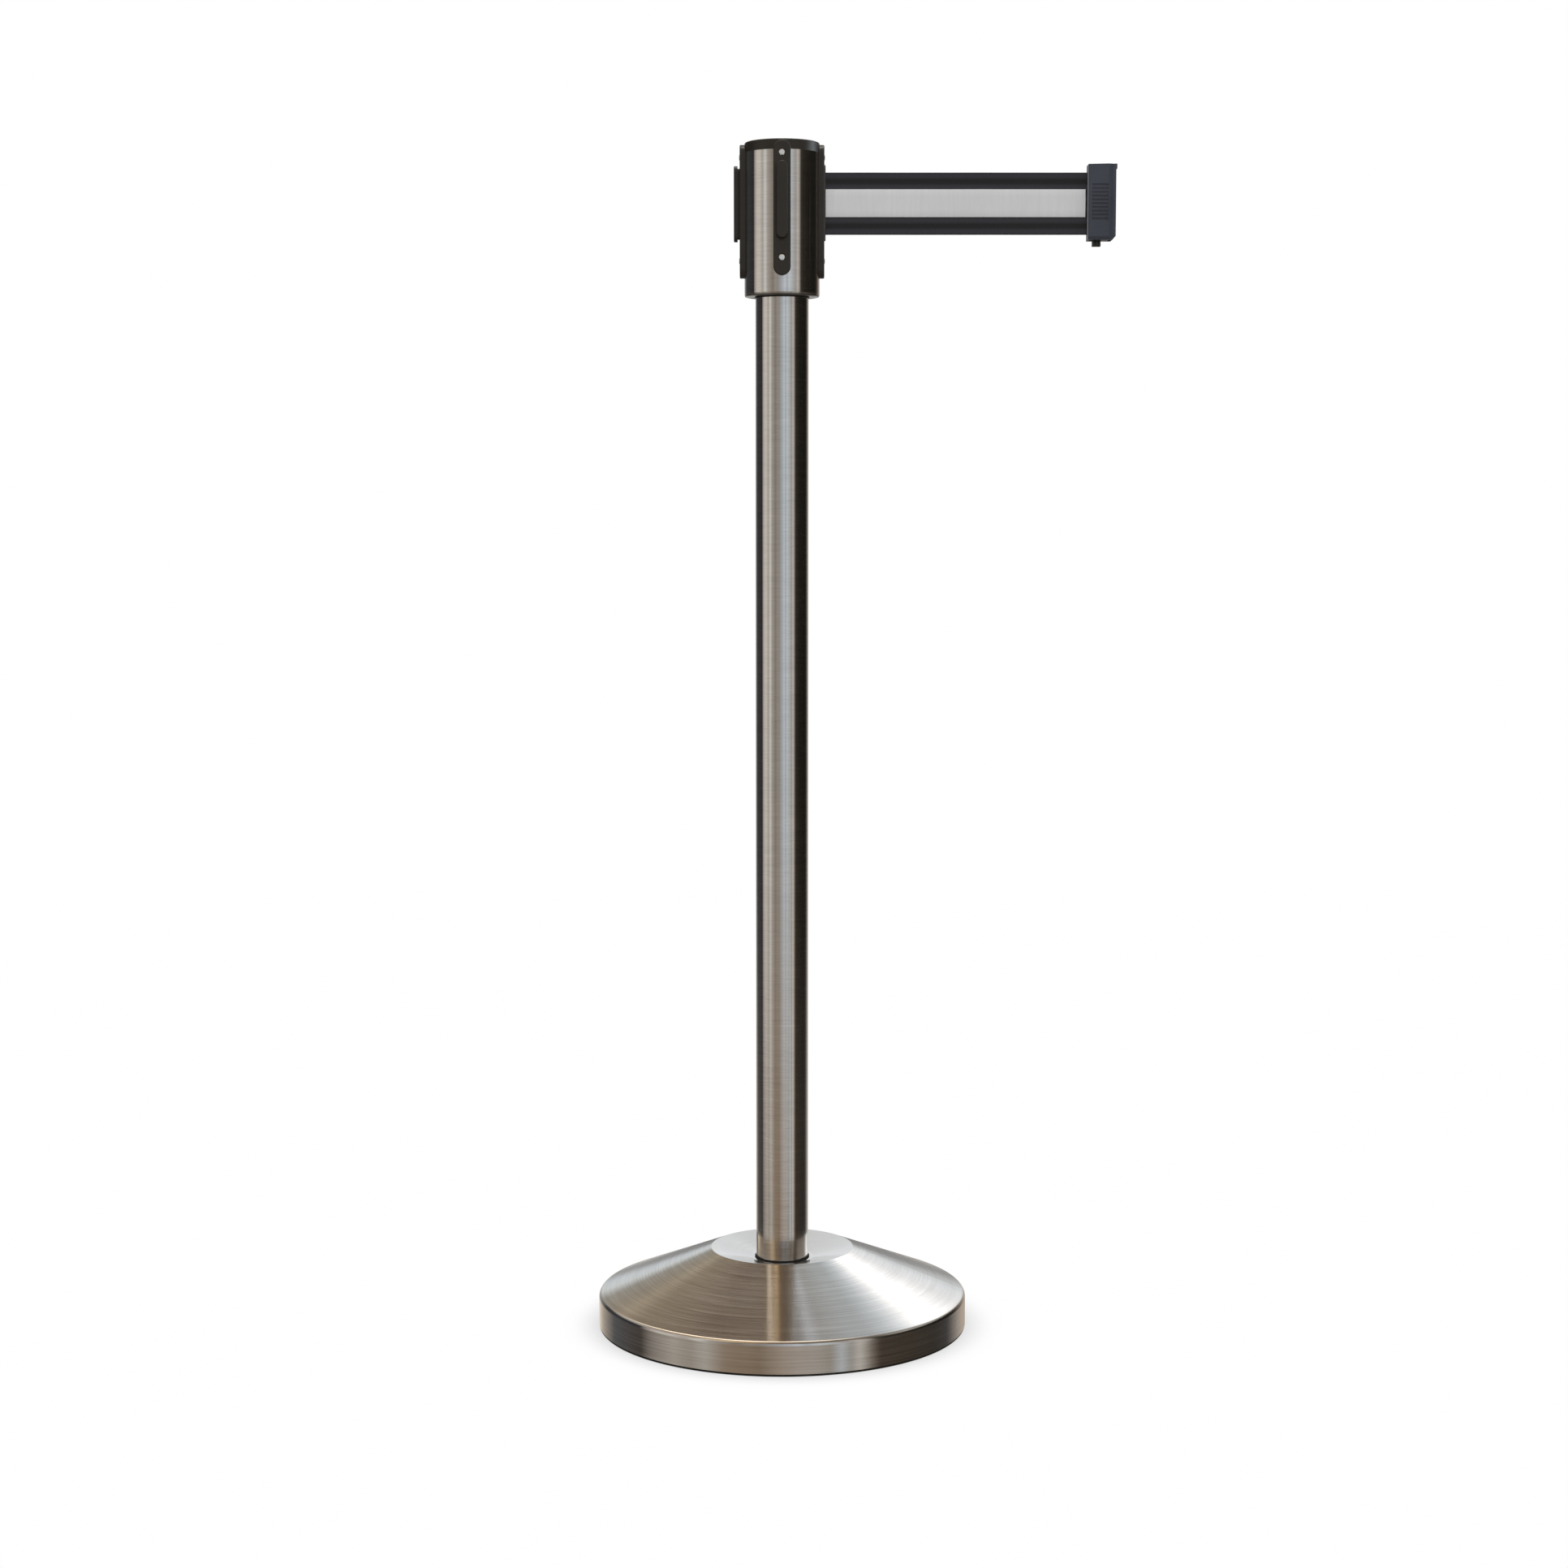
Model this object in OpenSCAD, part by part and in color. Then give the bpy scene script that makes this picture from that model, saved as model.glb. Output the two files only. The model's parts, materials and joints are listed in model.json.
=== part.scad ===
// Retractable belt stanchion: weighted base, post, and a head that holds a spring-wound belt.
// Millimetres. The post's axis is Z, the floor is z = 0, and the belt runs out along +X.

/* [Base] */
// Outer diameter of the base cover
base_d = 308; // [290:2:330]
// Height at which the rim band meets the cone
rim_z = 27.4; // [25:0.1:30]
// Radius of the rounded edge between the rim band and the cone
rim_edge_r = 4; // [2:0.5:6]
// Diameter of the crest where the cone meets the dish round the post
crest_d = 118.8; // [110:0.2:130]
// Height of the crest above the floor
crest_z = 65.2; // [62:0.1:68]
// Depth of the dish below the crest
dish_depth = 8.4; // [4:0.1:10]
// Sheet thickness of the base cover
cover_t = 1.2; // [1:0.1:1.5]
// Height of the rubber ring under the rim
ring_h = 2; // [1.5:0.1:3]
// Thickness of the cast iron weight's disc
weight_t = 15; // [12:1:20]
// Number of ribs on the weight
rib_n = 6; // [4:1:10]

/* [Post] */
// Outer diameter of the post tube
post_d = 43.5; // [42:0.1:45]
// Wall thickness of the post tube
post_t = 1.2; // [1:0.1:1.5]
// Thickness of the gasket under the post
gasket_t = 0.8; // [0.5:0.1:1.5]

/* [Head] */
// Outer diameter of the head sleeve
head_d = 61.4; // [61:0.1:63]
// Wall thickness of the head sleeve
head_t = 1.2; // [1:0.1:1.2]
// Height of the sleeve's lower edge above the floor
head_z = 855; // [835:1:855]
// Height of the sleeve's upper edge above the floor
head_top_z = 970; // [969:0.5:971]
// Height of the cap's upright edge
cap_h = 8.4; // [8:0.1:9]
// Rise of the cap's dome above its edge
cap_dome = 0.6; // [0.4:0.1:5]

/* [Receiver strips] */
// Width of the strips
strip_w = 14; // [13:0.2:15]
// Distance of the strips' outer face from the post axis
strip_x = 34.4; // [34:0.1:35]
// Lower end of the strips
strip_z0 = 869.8; // [869:0.1:871]
// Upper end of the strips
strip_z1 = 977; // [974:0.1:977]
// Width of the rail that a belt clip slides over
rail_w = 8.8; // [8.4:0.1:9]
// Thickness of the rail's outer flange
rail_t = 3; // [2.6:0.1:3]
// Gap between the rail's flange and the strip
rail_gap = 1.8; // [1.7:0.1:2]

/* [Belt] */
// Width of the webbing
belt_w = 50; // [48:0.5:50]
// Thickness of the webbing
belt_t = 0.6; // [0.4:0.1:0.7]
// Height of the webbing's centre line above the floor
belt_z = 930; // [929.5:0.1:930.5]
// Distance of the clip's near face from the post axis, as the belt stands drawn out
clip_x = 248.4; // [60:0.1:600]

/* [Clip] */
// Length of the clip along the belt
clip_l = 22.7; // [22.7:0.1:24]
// Thickness of the clip across the belt
clip_w = 17; // [17:0.5:20]
// Number of grip grooves
groove_n = 10; // [6:1:11]

/* [Hidden] */
$fn = 96;
eps = 0.01;

// Colours
steel_c = [0.68, 0.66, 0.63];
iron_c = [0.16, 0.16, 0.17];
black_c = [0.09, 0.08, 0.08];
slate_c = [0.24, 0.25, 0.29];
webbing_c = [0.13, 0.13, 0.14];
zinc_c = [0.74, 0.75, 0.76];
brass_c = [0.78, 0.62, 0.32];
nylon_c = [0.86, 0.85, 0.80];

// Base
base_r = base_d / 2;
crest_r = crest_d / 2;
crest_edge_r = 1;
cone_slope = (crest_z - rim_z) / (base_r - crest_r);
cone_angle = atan(cone_slope);
cover_drop = cover_t / cos(cone_angle);
seat_r = 26.2;
seat_z = crest_z - dish_depth;
dish_slope = dish_depth / (crest_r - seat_r);
dish_angle = atan(dish_slope);
dish_drop = cover_t / cos(dish_angle);
ring_r = base_r - 0.4;
ring_in_r = base_r - 10;
ring_lip_r = base_r - 5;
ring_lip_h = 2;
weight_r = base_r - cover_t - 0.5;
hub_r = 26;
hub_root_r = 34;
hub_root_z = ring_h + weight_t + 14;
rib_w = 8;
rib_end_r = 125;
bolt_r = 6;
bolt_hole_r = 6.5;
bolt_af = 19;
bolt_head_h = 7.5;
bolt_len = 64;
recess_r = 20;
recess_z = 22;
washer_t = 2.5;
washer_r = 18;
gasket_r = 22.8;

// Post
post_r = post_d / 2;
post_in_r = post_r - post_t;
post_z0 = seat_z + gasket_t;
post_z1 = head_z + 4;
plug_h = 32;

// Head
head_r = head_d / 2;
head_in_r = head_r - head_t;
liner_r = head_in_r - 0.15;
adapter_h = 8;
neck_r = post_r + 0.5;
neck_h = 1.2;
foot_taper = 0.5;
foot_taper_h = 2;
foot_lip_t = 1.2;
spigot_h = 30;
spigot_in_r = 12;
skirt_t = 2;
skirt_z = head_top_z - 7.5;
cap_edge_r = 1.2;
cap_wall = 3;

// Belt and its slots
belt_z0 = belt_z - belt_w / 2;
belt_z1 = belt_z + belt_w / 2;
slot_w = 3;
slot_z0 = belt_z0 - 1.5;
slot_z1 = belt_z1 + 1.5;

// Strips, rails and screws
rail_z0 = 899;
rail_z1 = 960;
rail_neck_w = 5.2;
lip_w = 7;
lip_t = 1;
screw_low_z = 883.9;
screw_high_z = 966.9;
screw_r = 1.5;
screw_head_r = 2.8;
screw_seat_x = strip_x - 1.2;
screw_tip_x = 27.5;
strip_angles = [0, 90, 180, 270];

// Cassette: the reel's axis is set back from the slot to leave room for the guide roller
reel_x = -3;
cassette_z0 = head_z + adapter_h;
chamber_r = 24;
chamber_z0 = cassette_z0 + 6.5;
shoulder_z = 889.5;
cavity_r = 27.2;
fit_r = cavity_r - 0.1;
cassette_z1 = skirt_z - 2.5;
boss_r = 2.8;
boss_x = 12.5;
boss_y = 21.65;
cassette_screw_at = 17;
axle_r = 3;
axle_top_z = skirt_z + 3.5;
bush_r = 4.6;
bush_len = 10;
arbor_r = 6;
arbor_z0 = chamber_z0 + 0.8;
reel_hub_r = 8;
flange_r = 23.3;
flange_t = 2;
flange_gap = 2;
reel_top_z = cassette_z1 - 0.3;
coil_r = 20;

// Power spring and brake
spring_w = 18;
spring_t = 0.4;
spring_turns = 9;
spring_steps = 24;
cover_plate_t = 2;
drum_z0 = shoulder_z + cover_plate_t;
drum_z1 = drum_z0 + 8;
drum_in_r = 22.3;
shoe_r = 21.4;
shoe_in_r = 11;
shoe_z0 = drum_z0 + 2;
shoe_z1 = shoe_z0 + 5;
shoe_pin_at = 16;
shoe_pin_angle = 30;
shoe_from = 12;
shoe_to = 150;
shoe_pin_r = 1.2;

// Guide roller: the belt leaves the coil at a tangent, turns round the roller and runs out on y = 0
roller_r = 1.9;
roller_pin_r = 1;
bend_x = 23.6;
lead_at = coil_r + 0.25 + belt_t / 2;
lead_angle = asin(lead_at / (bend_x - reel_x));
bend_r = roller_r + 0.15 + belt_t / 2;
bend_len = bend_r * tan(lead_angle / 2);
roller_x = bend_x + bend_len;
roller_y = bend_r;
lead_end_x = head_r + 0.8;

// Clip
clip_x1 = clip_x + clip_l;
clip_face_x = clip_x + 16.5;
clip_end_x = clip_x + 20.3;
clip_z0 = 900.3;
clip_z1 = 961.4;
clip_end_w = 12.8;
plate_z = clip_z1 - 4;
hook_l = 0.7;
channel_x0 = clip_x1 - 6;
channel_x1 = clip_x1 - 1.5;
channel_w = rail_w + 0.6;
mouth_w = rail_neck_w + 0.6;
bar_x = clip_x + 4.5;
bar_r = 1.5;
groove_x0 = clip_x + 3;
groove_l = 13.2;
groove_z0 = 916.6;
groove_pitch = 3.02;
groove_h = 2.9;
groove_deep = 0.8;
groove_r = (groove_h * groove_h / 4 + groove_deep * groove_deep) / (2 * groove_deep);
clip_screw_x = clip_x + 11.4;
clip_screw_z = [926.5, 951.5];
clip_screw_r = 1.1;

// Lock lever
lever_x = clip_x + 12.3;
lever_z = 911.5;
lever_w = 6;
lever_pin_r = 1;
lock_spring_z = lever_z + 5.3;
lock_spring_r = 1.1;
lock_wire_r = 0.2;

function arc(cx, cy, r, from, to, n) =
    [for (i = [0:n]) let (a = from + (to - from) * i / n) [cx + r * cos(a), cy + r * sin(a)]];

// A ring round Z between two radii and two heights
module ring(r_out, r_in, z0, z1) {
    translate([0, 0, z0])
        difference() {
            cylinder(r = r_out, h = z1 - z0);
            translate([0, 0, -1])
                cylinder(r = r_in, h = z1 - z0 + 2);
        }
}

// A box between two corners
module block(low, high) {
    translate(low)
        cube(high - low);
}

// A bar with round ends that stands on the plane x = 0, with its long side along Z,
// and with rounded edges on its outer face
module round_bar(z0, z1, width, thick, edge) {
    half = concat([[0, 0], [width / 2, 0]],
                  arc(width / 2 - edge, thick - edge, edge, 0, 90, 4), [[0, thick]]);
    low = z0 + width / 2;
    high = z1 - width / 2;
    for (z = [low, high])
        translate([0, 0, z])
            rotate([0, 90, 0])
                rotate_extrude()
                    polygon(half);
    for (side = [0, 1])
        mirror([0, side, 0])
            translate([0, 0, low])
                linear_extrude(height = high - low)
                    polygon([for (p = half) [p[1], p[0]]]);
}

// ---- base ----

module base_cover() {
    rim_turn = 90 - cone_angle;
    rim_edge_z = rim_z - rim_edge_r * tan(rim_turn / 2);
    crest_turn = (cone_angle + dish_angle) / 2;
    crest_lean = 90 + (dish_angle - cone_angle) / 2;
    crest_in = crest_edge_r / cos(crest_turn);
    in_r = base_r - cover_t;
    in_crest_r = crest_r + (dish_drop - cover_drop) / (dish_slope + cone_slope);
    outside = concat([[base_r, ring_h]],
                     arc(base_r - rim_edge_r, rim_edge_z, rim_edge_r, 0, rim_turn, 8),
                     arc(crest_r - crest_in * cos(crest_lean), crest_z - crest_in * sin(crest_lean),
                         crest_edge_r, rim_turn, 90 + dish_angle, 6),
                     [[seat_r, seat_z], [bolt_hole_r, seat_z]]);
    inside = [
        [bolt_hole_r, seat_z - cover_t],
        [seat_r + (dish_drop - cover_t) / dish_slope, seat_z - cover_t],
        [in_crest_r, crest_z + (in_crest_r - crest_r) * dish_slope - dish_drop],
        [in_r, rim_z - cover_drop + cover_t * cone_slope],
        [in_r, ring_h]
    ];
    color(steel_c)
        rotate_extrude($fn = 192)
            polygon(concat(outside, inside));
}

module base_weight() {
    disc_z = ring_h + weight_t;
    top_z = seat_z - cover_t;
    profile = [
        [0, ring_h], [weight_r, ring_h], [weight_r, disc_z - 2], [weight_r - 2, disc_z],
        [hub_root_r + 20, disc_z], [hub_root_r, hub_root_z], [hub_r, top_z], [0, top_z]
    ];
    rib = [
        [hub_r - 6, disc_z - 1], [rib_end_r, disc_z - 1], [rib_end_r, disc_z + 4],
        [crest_r, top_z - 6], [hub_r - 6, top_z - 2]
    ];
    color(iron_c)
        difference() {
            union() {
                rotate_extrude()
                    polygon(profile);
                for (i = [0:rib_n - 1])
                    rotate([90, 0, i * 360 / rib_n])
                        translate([0, 0, -rib_w / 2])
                            linear_extrude(height = rib_w)
                                polygon(rib);
            }
            translate([0, 0, -1])
                cylinder(r = bolt_hole_r, h = crest_z + 2);
            translate([0, 0, -1])
                cylinder(r = recess_r, h = recess_z + 1);
            ring(ring_lip_r, ring_in_r, ring_h - 1, ring_h + ring_lip_h);
        }
}

module floor_ring() {
    color(black_c)
        rotate_extrude($fn = 192)
            polygon([
                [ring_in_r, 0.6], [ring_in_r + 0.6, 0], [ring_r - 0.6, 0], [ring_r, 0.6],
                [ring_r, ring_h], [ring_lip_r, ring_h], [ring_lip_r, ring_h + ring_lip_h],
                [ring_in_r, ring_h + ring_lip_h]
            ]);
}

module foot_gasket() {
    color(black_c)
        ring(gasket_r, bolt_hole_r, seat_z, post_z0);
}

module post_bolt() {
    head_top = recess_z - washer_t;
    color(zinc_c) {
        translate([0, 0, head_top - bolt_head_h])
            cylinder(r = bolt_af / 2 / cos(30), h = bolt_head_h, $fn = 6);
        translate([0, 0, head_top - eps])
            cylinder(r = bolt_r, h = bolt_len);
    }
}

module bolt_washer() {
    color(zinc_c)
        ring(washer_r, bolt_hole_r, recess_z - washer_t, recess_z);
}

// ---- post ----

module post_tube() {
    color(steel_c)
        ring(post_r, post_in_r, post_z0, post_z1);
}

module post_plug() {
    color(zinc_c)
        ring(post_in_r, bolt_r, post_z0, post_z0 + plug_h);
}

module head_adapter() {
    neck_z = head_z - neck_h;
    lip_z = head_z + foot_lip_t;
    color(black_c)
        difference() {
            rotate_extrude()
                polygon([
                    [spigot_in_r, head_z - spigot_h], [post_in_r, head_z - spigot_h],
                    [post_in_r, post_z1], [post_r, post_z1], [post_r, neck_z], [neck_r, neck_z],
                    [neck_r, lip_z], [liner_r, lip_z], [liner_r, cassette_z0],
                    [spigot_in_r, cassette_z0]
                ]);
            cassette_screw_places()
                translate([0, 0, cassette_z0 - 8])
                    cylinder(r = screw_r, h = 9);
        }
}

// ---- head ----

module slot_cut(x0, x1, width) {
    block([x0, -width / 2, slot_z0], [x1, width / 2, slot_z1]);
}

module strip_screw_holes(x0, x1, r, heights) {
    for (a = strip_angles)
        rotate([0, 0, a])
            for (z = heights)
                translate([x0, 0, z])
                    rotate([0, 90, 0])
                        cylinder(r = r, h = x1 - x0);
}

module head_sleeve() {
    color(steel_c)
        difference() {
            rotate_extrude()
                polygon([
                    [neck_r, head_z], [head_r - foot_taper, head_z], [head_r, head_z + foot_taper_h],
                    [head_r, head_top_z], [head_in_r, head_top_z], [head_in_r, head_z + foot_lip_t],
                    [neck_r, head_z + foot_lip_t]
                ]);
            slot_cut(head_in_r - 3, head_r + 1, slot_w + 2);
            strip_screw_holes(head_in_r - 2, head_r + 1, screw_r + 0.1,
                              [screw_low_z, screw_high_z]);
        }
}

module top_cap() {
    top_z = head_top_z + cap_h;
    rim_r = head_r - cap_edge_r;
    dome_r = (rim_r * rim_r + cap_dome * cap_dome) / (2 * cap_dome);
    dome_to = asin(rim_r / dome_r);
    dome = arc(0, top_z + cap_dome - dome_r, dome_r, 90 - dome_to, 90, 12);
    skirt_in = liner_r - skirt_t;
    color(black_c)
        difference() {
            rotate_extrude()
                polygon(concat(
                    [[skirt_in, skirt_z], [liner_r, skirt_z], [liner_r, head_top_z],
                     [head_r - 0.1, head_top_z]],
                    arc(rim_r - 0.1, top_z - cap_edge_r, cap_edge_r, 0, 75, 5),
                    dome,
                    [[0, top_z - cap_wall], [skirt_in, top_z - cap_wall]]
                ));
            strip_screw_holes(skirt_in - 1, liner_r + 1, screw_r, [screw_high_z]);
        }
}

// The common bar of all four strips, on the +X side, with its back hollowed to fit the head
module strip_bar() {
    back_x = head_r - 4;
    difference() {
        union() {
            translate([back_x, 0, 0])
                round_bar(strip_z0, strip_z1, strip_w, strip_x - back_x, 0.9);
            children();
        }
        translate([0, 0, strip_z0 - 1])
            cylinder(r = head_r, h = strip_z1 - strip_z0 + 2);
        for (z = [screw_low_z, screw_high_z])
            translate([head_r - 5, 0, z])
                rotate([0, 90, 0]) {
                    cylinder(r = screw_r + 0.1, h = 20);
                    translate([0, 0, screw_seat_x - head_r + 5])
                        cylinder(r = screw_head_r + 0.1, h = 10);
                }
    }
}

module receiver() {
    color(black_c)
        strip_bar() {
            translate([strip_x - 0.5, 0, 0])
                round_bar(rail_z0 + 2, rail_z1 - 2, rail_neck_w, rail_gap + 1, 0.1);
            translate([strip_x + rail_gap, 0, 0])
                round_bar(rail_z0, rail_z1, rail_w, rail_t, 0.7);
        }
}

module receiver_front() {
    rotate([0, 0, -90])
        receiver();
}

module receiver_left() {
    rotate([0, 0, 180])
        receiver();
}

module receiver_back() {
    rotate([0, 0, 90])
        receiver();
}

module outlet_strip() {
    color(black_c)
        difference() {
            strip_bar()
                translate([strip_x - 0.5, 0, 0])
                    round_bar(rail_z0 + 1, rail_z1 + 1, lip_w, lip_t + 0.5, 0.4);
            slot_cut(head_r - 5, strip_x + 3, slot_w);
        }
}

// A pan-head screw along +X with its head's seat at x = 0 and a cross in its head
module pan_screw(r, head, length, head_h) {
    rotate([0, 90, 0])
        difference() {
            rotate_extrude()
                polygon(concat(
                    [[0, -length], [r, -length], [r, 0], [head, 0], [head, head_h * 0.45]],
                    arc(head - head_h * 0.7, head_h * 0.35, head_h * 0.65, 20, 80, 4),
                    [[0, head_h]]
                ));
            for (a = [0, 90])
                rotate([0, 0, a])
                    block([-head * 0.55, -head * 0.11, head_h * 0.45],
                          [head * 0.55, head * 0.11, head_h + 1]);
        }
}

module strip_screws() {
    color(zinc_c)
        for (a = strip_angles)
            for (z = [screw_low_z, screw_high_z])
                rotate([0, 0, a])
                    translate([screw_seat_x, 0, z])
                        rotate([25 + a, 0, 0])
                            pan_screw(screw_r, screw_head_r, screw_seat_x - screw_tip_x, 1.7);
}

// ---- cassette ----

module cassette_screw_places() {
    for (a = [90, 210, 330])
        rotate([0, 0, a])
            translate([cassette_screw_at, 0, 0])
                children();
}

module boss_places() {
    for (side = [-1, 1])
        translate([boss_x, side * boss_y, 0])
            children();
}

module at_reel() {
    translate([reel_x, 0, 0])
        children();
}

module at_roller() {
    translate([roller_x, roller_y, 0])
        children();
}

module cassette_body() {
    color(black_c)
        difference() {
            union() {
                difference() {
                    translate([0, 0, cassette_z0])
                        cylinder(r = liner_r, h = cassette_z1 - cassette_z0);
                    translate([0, 0, shoulder_z])
                        cylinder(r = cavity_r, h = 100);
                    at_reel()
                        translate([0, 0, chamber_z0])
                            cylinder(r = chamber_r, h = 100);
                }
                at_reel()
                    ring(arbor_r + 1, axle_r, chamber_z0 - 1, chamber_z0 + 0.5);
                boss_places()
                    ring(boss_r, 1, drum_z1 + 0.1, cassette_z1);
            }
            at_reel()
                translate([0, 0, cassette_z0 - 1])
                    cylinder(r = axle_r, h = 20);
            cassette_screw_places() {
                translate([0, 0, cassette_z0 - 1])
                    cylinder(r = screw_r, h = 10);
                translate([0, 0, chamber_z0 - 2])
                    cylinder(r1 = screw_r, r2 = screw_r + 2.2, h = 2.2);
            }
            strip_screw_holes(screw_tip_x - 1, liner_r + 1, screw_r, [screw_low_z]);
            block([15, -3, slot_z0 - 1], [40, 4, slot_z1 + 1]);
        }
}

module cassette_screws() {
    color(zinc_c)
        cassette_screw_places() {
            translate([0, 0, cassette_z0 - 8])
                cylinder(r = screw_r, h = 14);
            translate([0, 0, chamber_z0 - 2])
                cylinder(r1 = screw_r, r2 = screw_r + 1.9, h = 1.9);
        }
}

module cassette_lid() {
    color(black_c)
        difference() {
            translate([0, 0, cassette_z1])
                cylinder(r = liner_r, h = skirt_z - cassette_z1);
            translate([0, 0, cassette_z1 - 1]) {
                at_reel()
                    cylinder(r = axle_r, h = 5);
                at_roller()
                    cylinder(r = roller_pin_r, h = 5);
                boss_places()
                    cylinder(r = 1, h = 5);
            }
        }
}

module lid_screws() {
    color(zinc_c)
        boss_places()
            translate([0, 0, skirt_z])
                rotate([0, -90, 0])
                    pan_screw(1, 1.9, 11, 1.4);
}

module reel_axle() {
    color(zinc_c)
        at_reel()
            difference() {
                translate([0, 0, cassette_z0 + 0.5])
                    cylinder(r = axle_r, h = axle_top_z - cassette_z0 - 0.5);
                ring(axle_r + 1, axle_r - 0.6, skirt_z + 0.1, skirt_z + 0.9);
            }
}

module axle_clip() {
    color(zinc_c)
        at_reel()
            difference() {
                ring(axle_r + 2.2, axle_r - 0.6, skirt_z + 0.1, skirt_z + 0.9);
                block([-8, -1.6, skirt_z], [0, 1.6, skirt_z + 1]);
            }
}

module spring_cover() {
    color(zinc_c)
        difference() {
            translate([0, 0, shoulder_z])
                cylinder(r = fit_r, h = cover_plate_t);
            at_reel()
                translate([0, 0, shoulder_z - 1])
                    cylinder(r = arbor_r + 1, h = cover_plate_t + 2);
        }
}

// A flat spiral strip: its inner end clasps the reel's arbor, its outer end bears on the chamber
module power_spring() {
    r0 = arbor_r + 0.1 + spring_t / 2;
    r1 = chamber_r - spring_t / 2;
    n = spring_turns * spring_steps;
    inner = [for (i = [0:n]) let (r = r0 + (r1 - r0) * i / n - spring_t / 2,
                                  a = i * 360 / spring_steps) [r * cos(a), r * sin(a)]];
    outer = [for (i = [n:-1:0]) let (r = r0 + (r1 - r0) * i / n + spring_t / 2,
                                     a = i * 360 / spring_steps) [r * cos(a), r * sin(a)]];
    color(zinc_c)
        at_reel()
            translate([0, 0, chamber_z0 + 1.5])
                linear_extrude(height = spring_w)
                    polygon(concat(inner, outer));
}

module brake_drum() {
    color(zinc_c)
        difference() {
            translate([0, 0, drum_z0])
                cylinder(r = fit_r, h = drum_z1 - drum_z0);
            at_reel()
                translate([0, 0, drum_z0 - 1])
                    cylinder(r = drum_in_r, h = drum_z1 - drum_z0 + 2);
            at_roller()
                translate([0, 0, drum_z0 - 1])
                    cylinder(r = roller_pin_r, h = drum_z1 - drum_z0 + 2);
        }
}

module roller_pin() {
    color(zinc_c)
        at_roller()
            translate([0, 0, drum_z0 + 0.5])
                cylinder(r = roller_pin_r, h = skirt_z - drum_z0 - 1);
}

module guide_roller() {
    color(nylon_c)
        at_roller()
            ring(roller_r, roller_pin_r + 0.05, slot_z0, slot_z1);
}

// ---- reel ----

module shoe_pin_places() {
    at_reel()
        for (side = [0, 180])
            rotate([0, 0, side + shoe_pin_angle])
                translate([shoe_pin_at, 0, 0])
                    children();
}

module reel() {
    low_z = belt_z0 - flange_gap - flange_t;
    high_z = belt_z1 + flange_gap;
    color(nylon_c)
        difference() {
            at_reel() {
                translate([0, 0, arbor_z0])
                    cylinder(r = arbor_r, h = reel_top_z - arbor_z0);
                translate([0, 0, low_z])
                    cylinder(r = reel_hub_r, h = high_z - low_z);
                for (z = [low_z, high_z])
                    translate([0, 0, z])
                        cylinder(r = flange_r, h = flange_t);
            }
            at_reel()
                translate([0, 0, arbor_z0 - 1])
                    cylinder(r = bush_r, h = 200);
            anchor_place()
                cylinder(r = 0.9, h = belt_w + 2 * flange_gap - 1);
            shoe_pin_places()
                translate([0, 0, low_z - 1])
                    cylinder(r = shoe_pin_r, h = flange_t + 2);
        }
}

module anchor_place() {
    translate([reel_x + reel_hub_r - 1.5, 0, belt_z0 - flange_gap + 0.5])
        children();
}

module reel_bush(z) {
    color(brass_c)
        at_reel()
            ring(bush_r, axle_r + 0.04, z, z + bush_len);
}

module reel_bush_lower() {
    reel_bush(arbor_z0);
}

module reel_bush_upper() {
    reel_bush(reel_top_z - bush_len);
}

module belt_anchor_pin() {
    color(zinc_c)
        anchor_place()
            cylinder(r = 0.9, h = belt_w + 2 * flange_gap - 1);
}

module brake_pins() {
    color(zinc_c)
        shoe_pin_places()
            translate([0, 0, shoe_z0 - 0.8])
                cylinder(r = shoe_pin_r, h = belt_z0 - flange_gap - shoe_z0 + 0.8);
}

// A crescent that swings out on a pin near one end
module brake_shoe() {
    rim = concat(arc(0, 0, shoe_r, shoe_from, shoe_to, 24),
                 arc(0, 0, shoe_in_r, shoe_to, shoe_from, 16));
    color(black_c)
        difference() {
            translate([0, 0, shoe_z0])
                linear_extrude(height = shoe_z1 - shoe_z0)
                    polygon(rim);
            rotate([0, 0, shoe_pin_angle])
                translate([shoe_pin_at, 0, shoe_z0 - 1])
                    cylinder(r = shoe_pin_r + 0.05, h = 10);
        }
}

module brake_shoe_a() {
    at_reel()
        brake_shoe();
}

module brake_shoe_b() {
    at_reel()
        rotate([0, 0, 180])
            brake_shoe();
}

// ---- belt ----

module belt_coil() {
    color(webbing_c)
        at_reel()
            ring(coil_r, reel_hub_r, belt_z0, belt_z1);
}

// The stretch from the coil, round the guide roller, into the slot
module belt_lead() {
    half = belt_t / 2;
    away = [cos(lead_angle), -sin(lead_angle)];
    side = [sin(lead_angle), cos(lead_angle)];
    start = [reel_x, 0] + side * lead_at;
    color(webbing_c)
        translate([0, 0, belt_z0])
            linear_extrude(height = belt_w)
                polygon(concat(
                    [start + side * half],
                    arc(roller_x, roller_y, bend_r - half, 270 - lead_angle, 270, 8),
                    [[lead_end_x, half], [lead_end_x, -half]],
                    arc(roller_x, roller_y, bend_r + half, 270, 270 - lead_angle, 8),
                    [start - side * half]
                ));
}

// The stretch in the open, with the loop round the bar in the clip
module belt_web() {
    color(webbing_c) {
        block([lead_end_x + 0.3, -belt_t / 2, belt_z0], [bar_x - bar_r - 0.1, belt_t / 2, belt_z1]);
        translate([bar_x, 0, 0])
            ring(bar_r + belt_t, bar_r, belt_z0, belt_z1);
    }
}

// ---- clip ----

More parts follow.
